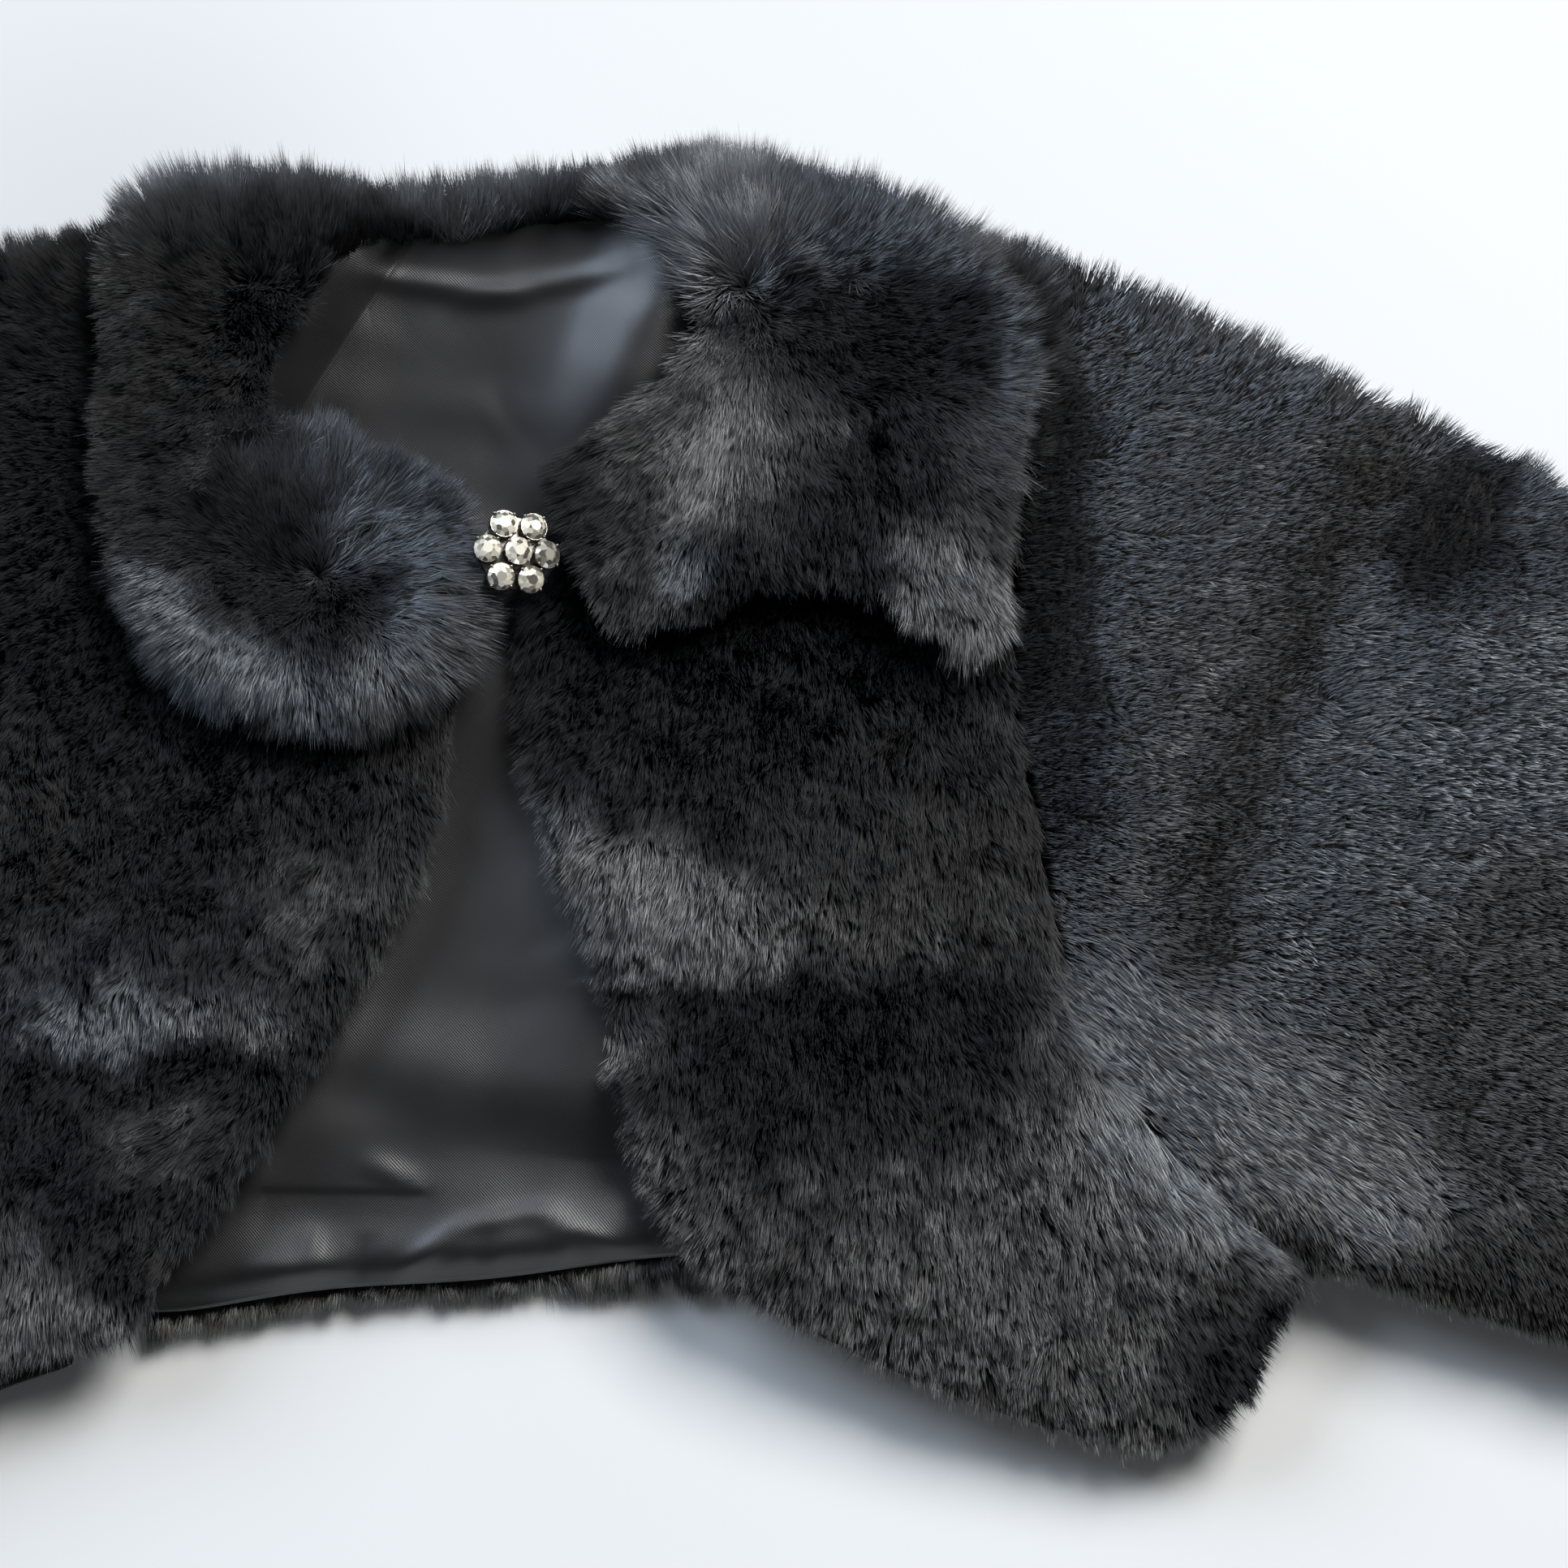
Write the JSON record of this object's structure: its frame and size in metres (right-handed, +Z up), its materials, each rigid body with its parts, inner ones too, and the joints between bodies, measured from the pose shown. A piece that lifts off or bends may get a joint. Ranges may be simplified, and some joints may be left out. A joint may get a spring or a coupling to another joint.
{
  "type": "fur bolero",
  "caption": "short open jacket of black faux fur laid flat, with a wide rounded collar, straight sleeves, satin lining and a rhinestone flower button at the throat",
  "frame": {"origin": "on the surface that the garment lies on, below the middle of its bounding box", "axes": "+X runs from the sleeve at the picture's left to the sleeve at its right, +Y from hem to neck, +Z up from the surface"},
  "size_m": [0.8044, 0.312, 0.0443],
  "materials": {
    "black_fur": "soft pile about 11 mm long, with a cool sheen where hairs lie side on",
    "black_satin": "smooth satin with soft highlights along creases",
    "silver_metal": "bright plated metal",
    "clear_crystal": "faceted and foiled behind, warm white sparkle"
  },
  "bodies": {
    "root": {"back": "black_fur", "front_left": "black_fur", "front_right": "black_fur", "collar_left": "black_fur", "collar_right": "black_fur", "sleeve_left": "black_fur", "sleeve_right": "black_fur", "back_lining": "black_satin", "front_lining_left": "black_satin", "front_lining_right": "black_satin", "button_setting": "silver_metal", "stone_centre": "clear_crystal", "stone_petal_1": "clear_crystal", "stone_petal_2": "clear_crystal", "stone_petal_3": "clear_crystal", "stone_petal_4": "clear_crystal", "stone_petal_5": "clear_crystal", "stone_petal_6": "clear_crystal"}
  },
  "joints": []
}
